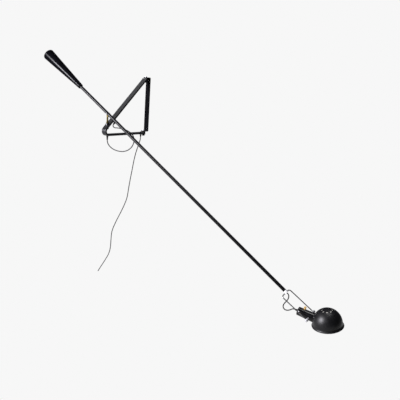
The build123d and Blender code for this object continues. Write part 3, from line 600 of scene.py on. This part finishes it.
def arm_profile():
    """Drawn tube with softly broken end edges. x runs along the arm."""
    back = [(TUBE_BACK, TUBE_BORE_R), (TUBE_BACK, TUBE_R - 0.3), (TUBE_BACK + 0.3, TUBE_R)]
    front = [(TUBE_FRONT - 0.4, TUBE_R), (TUBE_FRONT, TUBE_R - 0.4), (TUBE_FRONT, TUBE_BORE_R)]
    return back + front + [(TUBE_BACK, TUBE_BORE_R)]


def slot_cutter(work):
    """The slot in the underside that the swivel pin's tongue enters: a box with round ends."""
    half = SLOT_WIDTH / 2
    outline = arc(SLOT_FRONT - half, 0, half, -90, 90, 12)
    outline += arc(SLOT_BACK + half, 0, half, 90, 270, 12)
    low = [work.verts.new(along(ARM, x, y, -TUBE_R - SLOT_CUT)) for x, y in outline]
    high = [work.verts.new(along(ARM, x, y)) for x, y in outline]
    for i in range(len(outline)):
        j = (i + 1) % len(outline)
        work.faces.new((low[i], low[j], high[j], high[i]))
    work.faces.new(low)
    work.faces.new(high)


def make_arm_tube():
    mesh = mesh_from(lambda work: turned(work, arm_profile(), ARM, 64), "arm_tube_drawn")
    mesh = cut(mesh, mesh_from(slot_cutter, "slot_cutter"))
    add("arm_tube_drawn", mesh, "arm", "black_gloss_tube", ["arm_tube"])


make_counterweight()
make_arm_tube()


# ---------------------------------------------------------------- holder
CAP_FRONT = -53.5
HOLDER_WALL = 1.2
HOLDER_EDGE_R = 0.6


def holder_profile():
    """Tapered tube with a rolled front edge and a groove where the rear cap meets it."""
    back_r = holder_r(CAP_FRONT)
    outside = [(CAP_FRONT + 0.1, back_r - 0.5), (CAP_FRONT + 0.6, back_r - 0.02)]
    front = arc(HOLDER_FRONT - HOLDER_EDGE_R, holder_r(HOLDER_FRONT) - HOLDER_EDGE_R, HOLDER_EDGE_R,
                90, -90, 8)
    inside = [(CAP_FRONT + 0.1, back_r - HOLDER_WALL)]
    return outside + front + inside + outside[:1]


def make_holder():
    mesh = mesh_from(lambda work: turned(work, holder_profile(), HEAD, 128), "holder_tube")
    add("holder_tube", mesh, "head", "black_enamel", ["holder"], [HOLDER_BLACK])


make_holder()


# ---------------------------------------------------------------- strain reliefs
GLAND_NECK_R = 4
GLAND_COLLAR_R = 6
GLAND_COLLAR_THICK = 3
GLAND_TAIL_R = 5.2
GLAND_TIP_R = 4
GLAND_RIBS = 5
GLAND_EDGE_R = 0.8
RIB_DEEP = 0.7
RIB_START = 0.4
GLAND_PLAIN = 2                     # the length of tail that has no ribs
# One rib: how far along it, over its pitch, and how deep under the tail's cone.
RIB_SHAPE = [(0, RIB_DEEP), (0.25, RIB_DEEP), (0.38, 0.1), (0.5, 0), (0.85, 0), (0.97, 0.1)]
GLAND_SEAT = 161.55            # under the bracket's lower member, down from the origin
CAP_BACK = 59.55               # behind the head's pivot


def gland_profile(seat, tip):
    """Collar with round edges, then a tapered tail with ribs. x runs from the seat out to the tip."""
    start = seat + GLAND_COLLAR_THICK
    collar_r = GLAND_COLLAR_R - GLAND_EDGE_R
    collar = arc(seat + GLAND_EDGE_R, collar_r, GLAND_EDGE_R, 180, 90, 4)
    collar += arc(start - GLAND_EDGE_R, collar_r, GLAND_EDGE_R, 90, 0, 4)
    tail = []
    pitch = (tip - start - GLAND_PLAIN) / GLAND_RIBS
    for i in range(GLAND_RIBS):
        x = start + RIB_START + i * pitch
        r = GLAND_TAIL_R + (GLAND_TIP_R - GLAND_TAIL_R) * (i + 0.5) / GLAND_RIBS
        tail += [(x + part * pitch, r - deep) for part, deep in RIB_SHAPE]
    end = arc(tip - GLAND_EDGE_R, GLAND_TIP_R - GLAND_EDGE_R, GLAND_EDGE_R, 90, 0, 4)
    neck = [(seat - 1, 0), (seat - 1, GLAND_NECK_R), (seat, GLAND_NECK_R)]
    return neck + collar + tail + end + [(tip, 0)]


def make_gland(name, node, body, matrix, seat, tip):
    mesh = mesh_from(lambda work: turned(work, gland_profile(seat, tip), matrix, 48), name, 35)
    add(name, mesh, body, "rubber", [node])


DOWN = turn("Y", 90)
REAR_GLAND_TIP, FRONT_GLAND_TIP = 176, 181
make_gland("rear_gland_ribbed", "rear_gland", "bracket", shift(y=-46) @ DOWN,
           GLAND_SEAT, REAR_GLAND_TIP)
make_gland("front_gland_ribbed", "front_gland", "bracket", shift(y=-299) @ DOWN,
           GLAND_SEAT, FRONT_GLAND_TIP)
make_gland("arm_gland_ribbed", "arm_gland", "arm", ARM @ shift(x=ARM_GLAND_AT) @ DOWN,
           TUBE_R + 0.05, ARM_GLAND_TIP)
make_gland("head_gland_ribbed", "head_gland", "head", HEAD @ turn("Y", 180),
           CAP_BACK, -HEAD_GLAND_TIP)


# ---------------------------------------------------------------- hinge bolts
LUG_TOPS = (148, -143)
HINGE_Y = -24
BOLT_DOWN = 28.8               # bolt's foot under the top of its lug
BOLT_R = 4
BOLT_HEAD_R = 6.5
BOLT_HEAD_HIGH = 4
BOLT_KEY_R = 3.4
BOLT_KEY_DEEP = 2.2
BOLT_BEVEL = 0.8
BOLT_EDGE_R = 0.4
BOLT_DOME_R = 2


def bolt_profile():
    """Shank with a bevelled foot, and a round head with a domed top. x is up, from the lug's top."""
    foot = [(-BOLT_DOWN, 0), (-BOLT_DOWN, BOLT_R - BOLT_BEVEL), (-BOLT_DOWN + BOLT_BEVEL, BOLT_R)]
    head = arc(BOLT_EDGE_R, BOLT_HEAD_R - BOLT_EDGE_R, BOLT_EDGE_R, 180, 90, 3)
    head += arc(BOLT_HEAD_HIGH - BOLT_DOME_R, BOLT_HEAD_R - BOLT_DOME_R, BOLT_DOME_R, 90, 20, 8)
    return foot + [(0, BOLT_R)] + head + [(BOLT_HEAD_HIGH, BOLT_KEY_R + 0.6), (BOLT_HEAD_HIGH, 0)]


def bolt_bodies(work):
    for top in LUG_TOPS:
        turned(work, bolt_profile(), shift(0, HINGE_Y, top) @ turn("Y", -90), 64)


def bolt_recesses(work):
    low, high = BOLT_HEAD_HIGH - BOLT_KEY_DEEP, BOLT_HEAD_HIGH + 1
    recess = [(low, 0), (low, BOLT_KEY_R), (high, BOLT_KEY_R), (high, 0)]
    for top in LUG_TOPS:
        turned(work, recess, shift(0, HINGE_Y, top) @ turn("Y", -90), 6)


def make_hinge_bolts():
    bodies = mesh_from(bolt_bodies, "hinge_bolts_turned")
    mesh = cut(bodies, mesh_from(bolt_recesses, "bolt_recesses"))
    add("hinge_bolts_turned", mesh, "wall", "steel", ["hinge_bolts"], [ZINC_WITH_PAINTED_SHEEN])


make_hinge_bolts()


# ---------------------------------------------------------------- yoke
YOKE_HALF = 38.3
YOKE_BASE = -146
YOKE_DROP = 5.9
YOKE_CORNER_R = 13
YOKE_WIRE_R = 2.5
EYE_R = 6.6
EYE_HOLE_R = 2.55
EYE_HALF = 1.5
EYE_EDGE_R = 0.6
LEG_HANDLE = 2.5
LEG_FLAT_WIDTH = 0.55               # the wire's width where it enters the eye, over its own
CIRCLE_HANDLE = 0.5523              # handle length of a quarter circle, over its radius


def yoke_leg(y, turn_to):
    """Bezier points of one leg, from its eye to where its corner meets the base.
    Each is (spot, handle towards the eye, handle away from it, width)."""
    tilt = YOKE_DROP / -YOKE_BASE
    handle = CIRCLE_HANDLE * YOKE_CORNER_R
    reach = Vector((LEG_HANDLE, 0, LEG_HANDLE * tilt))
    to_corner = Vector((-handle, 0, -handle * tilt))
    inward = Vector((0, turn_to, 0))
    inner_x, outer_x, corner_x = -EYE_R + 0.6, -EYE_R - 6, YOKE_BASE + YOKE_CORNER_R
    base = Vector((YOKE_BASE, y + turn_to * YOKE_CORNER_R, -YOKE_DROP))
    return [
        (Vector((inner_x, y, inner_x * tilt)), reach, -reach, LEG_FLAT_WIDTH),
        (Vector((outer_x, y, outer_x * tilt)), reach, -reach, 1.0),
        (Vector((corner_x, y, corner_x * tilt)), reach, to_corner, 1.0),
        (base, -inward * handle, inward * handle, 1.0),
    ]


def yoke_curve():
    data = bpy.data.curves.new("yoke_wire_bent", "CURVE")
    data.dimensions = "3D"
    near = yoke_leg(-YOKE_HALF, 1)
    far = yoke_leg(YOKE_HALF, -1)[::-1]
    far = [(spot, front, back, width) for spot, back, front, width in far]
    spline = data.splines.new("BEZIER")
    spline.bezier_points.add(len(near + far) - 1)
    for point, (spot, back, front, width) in zip(spline.bezier_points, near + far):
        point.handle_left_type = point.handle_right_type = "FREE"
        point.co = YOKE @ (spot * MM)
        point.handle_left = YOKE @ ((spot + back) * MM)
        point.handle_right = YOKE @ ((spot + front) * MM)
        point.radius = width
    data.resolution_u = 24
    data.bevel_depth = YOKE_WIRE_R * MM
    data.bevel_resolution = 8
    data.use_fill_caps = True
    return data


def yoke_eyes(work):
    """Flattened eyes with rounded rims."""
    rim_r = EYE_R - EYE_EDGE_R
    rim = arc(-EYE_HALF + EYE_EDGE_R, rim_r, EYE_EDGE_R, 180, 90, 4)
    rim += arc(EYE_HALF - EYE_EDGE_R, rim_r, EYE_EDGE_R, 90, 0, 4)
    profile = [(-EYE_HALF, EYE_HOLE_R)] + rim + [(EYE_HALF, EYE_HOLE_R), (-EYE_HALF, EYE_HOLE_R)]
    for y in (-YOKE_HALF, YOKE_HALF):
        turned(work, profile, YOKE @ shift(y=y) @ turn("Z", 90), 64)


def make_yoke():
    add("yoke_wire_bent", yoke_curve(), "yoke", "steel", ["yoke_wire"], [WIRE_STEEL_PAINTED_SHADE])
    add("yoke_eyes", mesh_from(yoke_eyes, "yoke_eyes"), "yoke", "steel", finishes=[ZINC_WITH_PAINTED_SHEEN])


make_yoke()

# ---------------------------------------------------------------- pivot nuts and bulb
NUT_NEAR = 40.65               # across the holder, from its middle to the nut's inner face
NUT_LONG = 7.5
NUT_R = 5.5
KNURLS = 28
KNURL_DEEP = 0.3


def nut_profile():
    """Knurled barrel between plain shoulders, with a dimple in the outer face. x is outwards."""
    inner = [(0, 2.6), (0, NUT_R - 1.2), (0.9, NUT_R - 1.2), (1.2, NUT_R - 0.5)]
    barrel = [(1.6 + 0.35 * i, NUT_R) for i in range(14)]
    outer = [(6.6, NUT_R - 0.4), (NUT_LONG - 0.3, NUT_R - 1.2), (NUT_LONG, NUT_R - 1.6),
             (NUT_LONG, 2.4), (NUT_LONG - 0.5, 1.6), (NUT_LONG - 0.6, 0)]
    return inner + barrel + outer


def knurl(x, r, angle):
    if r != NUT_R:
        return r
    return r - KNURL_DEEP * abs(math.sin(KNURLS * angle / 2))


def nuts(work):
    for quarter in (90, -90):
        turned(work, nut_profile(), HEAD @ turn("Z", quarter) @ shift(NUT_NEAR), 168, wave=knurl)


def make_pivot_nuts():
    mesh = mesh_from(nuts, "pivot_nuts_knurled", 50)
    add("pivot_nuts_knurled", mesh, "head", "steel", ["pivot_nuts"], [ZINC_WITH_PAINTED_SHEEN])


BULB_R = 19
BULB_MIDDLE = 48
BULB_NECK_R = 12.9
BASE_BACK, BASE_FRONT = 4, 27
BASE_R = 13.2
THREAD_PITCH = 3.6
THREAD_DEEP = 0.45


def bulb_profile():
    """Round glass that runs into its neck with a soft hollow. x is away from the socket."""
    globe = arc(BULB_MIDDLE, 0, BULB_R, 0, 128, 44)
    globe[0] = (BULB_MIDDLE + BULB_R, 0)
    hollow = [(34.6, 14.0), (32.4, 13.2), (30, BULB_NECK_R)]
    return globe + hollow + [(BASE_FRONT - 2, BULB_NECK_R), (BASE_FRONT - 2, 0)]


def thread(x, r, angle):
    if r != BASE_R:
        return r
    return r - THREAD_DEEP * (0.5 - 0.5 * math.cos(2 * math.pi * x / THREAD_PITCH - angle))


def make_bulb():
    glass = mesh_from(lambda work: turned(work, bulb_profile(), HEAD, 96), "bulb_glass_blown", 60)
    add("bulb_glass_blown", glass, "head", "opal_glass", ["bulb_glass"])
    steps = 60
    screw_long = BASE_FRONT - BASE_BACK - 3
    screw = [(BASE_BACK + 2 + screw_long * i / steps, BASE_R) for i in range(steps + 1)]
    contact = [(1.5, 0), (1.5, 3.4), (2.1, 4), (BASE_BACK, 4), (BASE_BACK, 9.5)]
    profile = contact + [(BASE_BACK + 2, BASE_R - 0.6)] + screw
    profile += [(BASE_FRONT, BASE_R - 0.2), (BASE_FRONT, 0)]
    base = mesh_from(lambda work: turned(work, profile, HEAD, 96, wave=thread), "bulb_base_threaded", 50)
    add("bulb_base_threaded", base, "head", "aluminium", ["bulb_base"])


make_pivot_nuts()
make_bulb()


# ---------------------------------------------------------------- stage
def glow(name, at, target, size, power, colour):
    """A soft oval light that faces a point."""
    data = bpy.data.lights.new(name, "AREA")
    data.shape = "ELLIPSE"
    data.size, data.size_y = size
    data.energy = power
    data.color = colour
    lamp = bpy.data.objects.new(name, data)
    bpy.context.scene.collection.objects.link(lamp)
    aim = Vector(target) - Vector(at)
    lamp.matrix_world = Matrix.Translation(at) @ aim.to_track_quat("-Z", "Y").to_matrix().to_4x4()


PAPER = 0.93
DIM_WORLD = 0.09
WORLD_TINT = (0.88, 0.88, 1, 1)


def make_world():
    """A dim world that lights the lamp, which the camera sees as pale paper."""
    world = bpy.data.worlds.new("world")
    bpy.context.scene.world = world
    world.use_nodes = True
    tree = world.node_tree
    seen = tree.nodes.new("ShaderNodeLightPath")
    mix = tree.nodes.new("ShaderNodeMixShader")
    dim = tree.nodes["Background"]
    dim.inputs["Color"].default_value = WORLD_TINT
    dim.inputs["Strength"].default_value = DIM_WORLD
    paper = tree.nodes.new("ShaderNodeBackground")
    paper.inputs["Color"].default_value = (PAPER, PAPER, PAPER, 1)
    tree.links.new(seen.outputs["Is Camera Ray"], mix.inputs["Fac"])
    tree.links.new(dim.outputs["Background"], mix.inputs[1])
    tree.links.new(paper.outputs["Background"], mix.inputs[2])
    tree.links.new(mix.outputs["Shader"], tree.nodes["World Output"].inputs["Surface"])


FLOOR_DROP = 0.22
FLOOR_HALF = 3.2


def make_floor():
    """A floor as bright as the background, which glows and so catches no shadow."""
    low = cad_box[0].z - FLOOR_DROP
    work = bmesh.new()
    bmesh.ops.create_grid(work, x_segments=8, y_segments=8, size=FLOOR_HALF)
    mesh = bpy.data.meshes.new("floor")
    work.to_mesh(mesh)
    work.free()
    floor = bpy.data.objects.new("floor", mesh)
    floor.location.z = low
    bpy.context.scene.collection.objects.link(floor)
    material = bpy.data.materials.new("floor_paper")
    material.use_nodes = True
    shader = material.node_tree.nodes["Principled BSDF"]
    shader.inputs["Base Color"].default_value = (0, 0, 0, 1)
    shader.inputs["Roughness"].default_value = 1
    shader.inputs["Specular IOR Level"].default_value = 0
    shader.inputs["Emission Color"].default_value = (1, 1, 1, 1)
    shader.inputs["Emission Strength"].default_value = PAPER
    mesh.materials.append(material)


LAMP_MIDDLE = Vector((0.5, -0.2, -0.4))
# Each light: its name, direction from the lamp's middle, distance, size, watts and colour.
LIGHTS = [
    ("key_light", (-0.465, -0.838, 0.285), 3.2, (0.8, 1.3), 430, (0.95, 0.94, 1.0)),
    ("top_light", (0.2, 0.1, 1), 3.0, (1.2, 1.2), 45, (1, 1, 1)),
    ("left_light", (-0.70, 0, 0.71), 3.0, (1.4, 1.4), 5, (1, 1, 1)),
]


def make_lights():
    for name, direction, distance, size, power, colour in LIGHTS:
        glow(name, LAMP_MIDDLE + Vector(direction) * distance, LAMP_MIDDLE, size, power, colour)


bpy.context.scene.view_settings.view_transform = "Standard"
make_world()
make_floor()
make_lights()
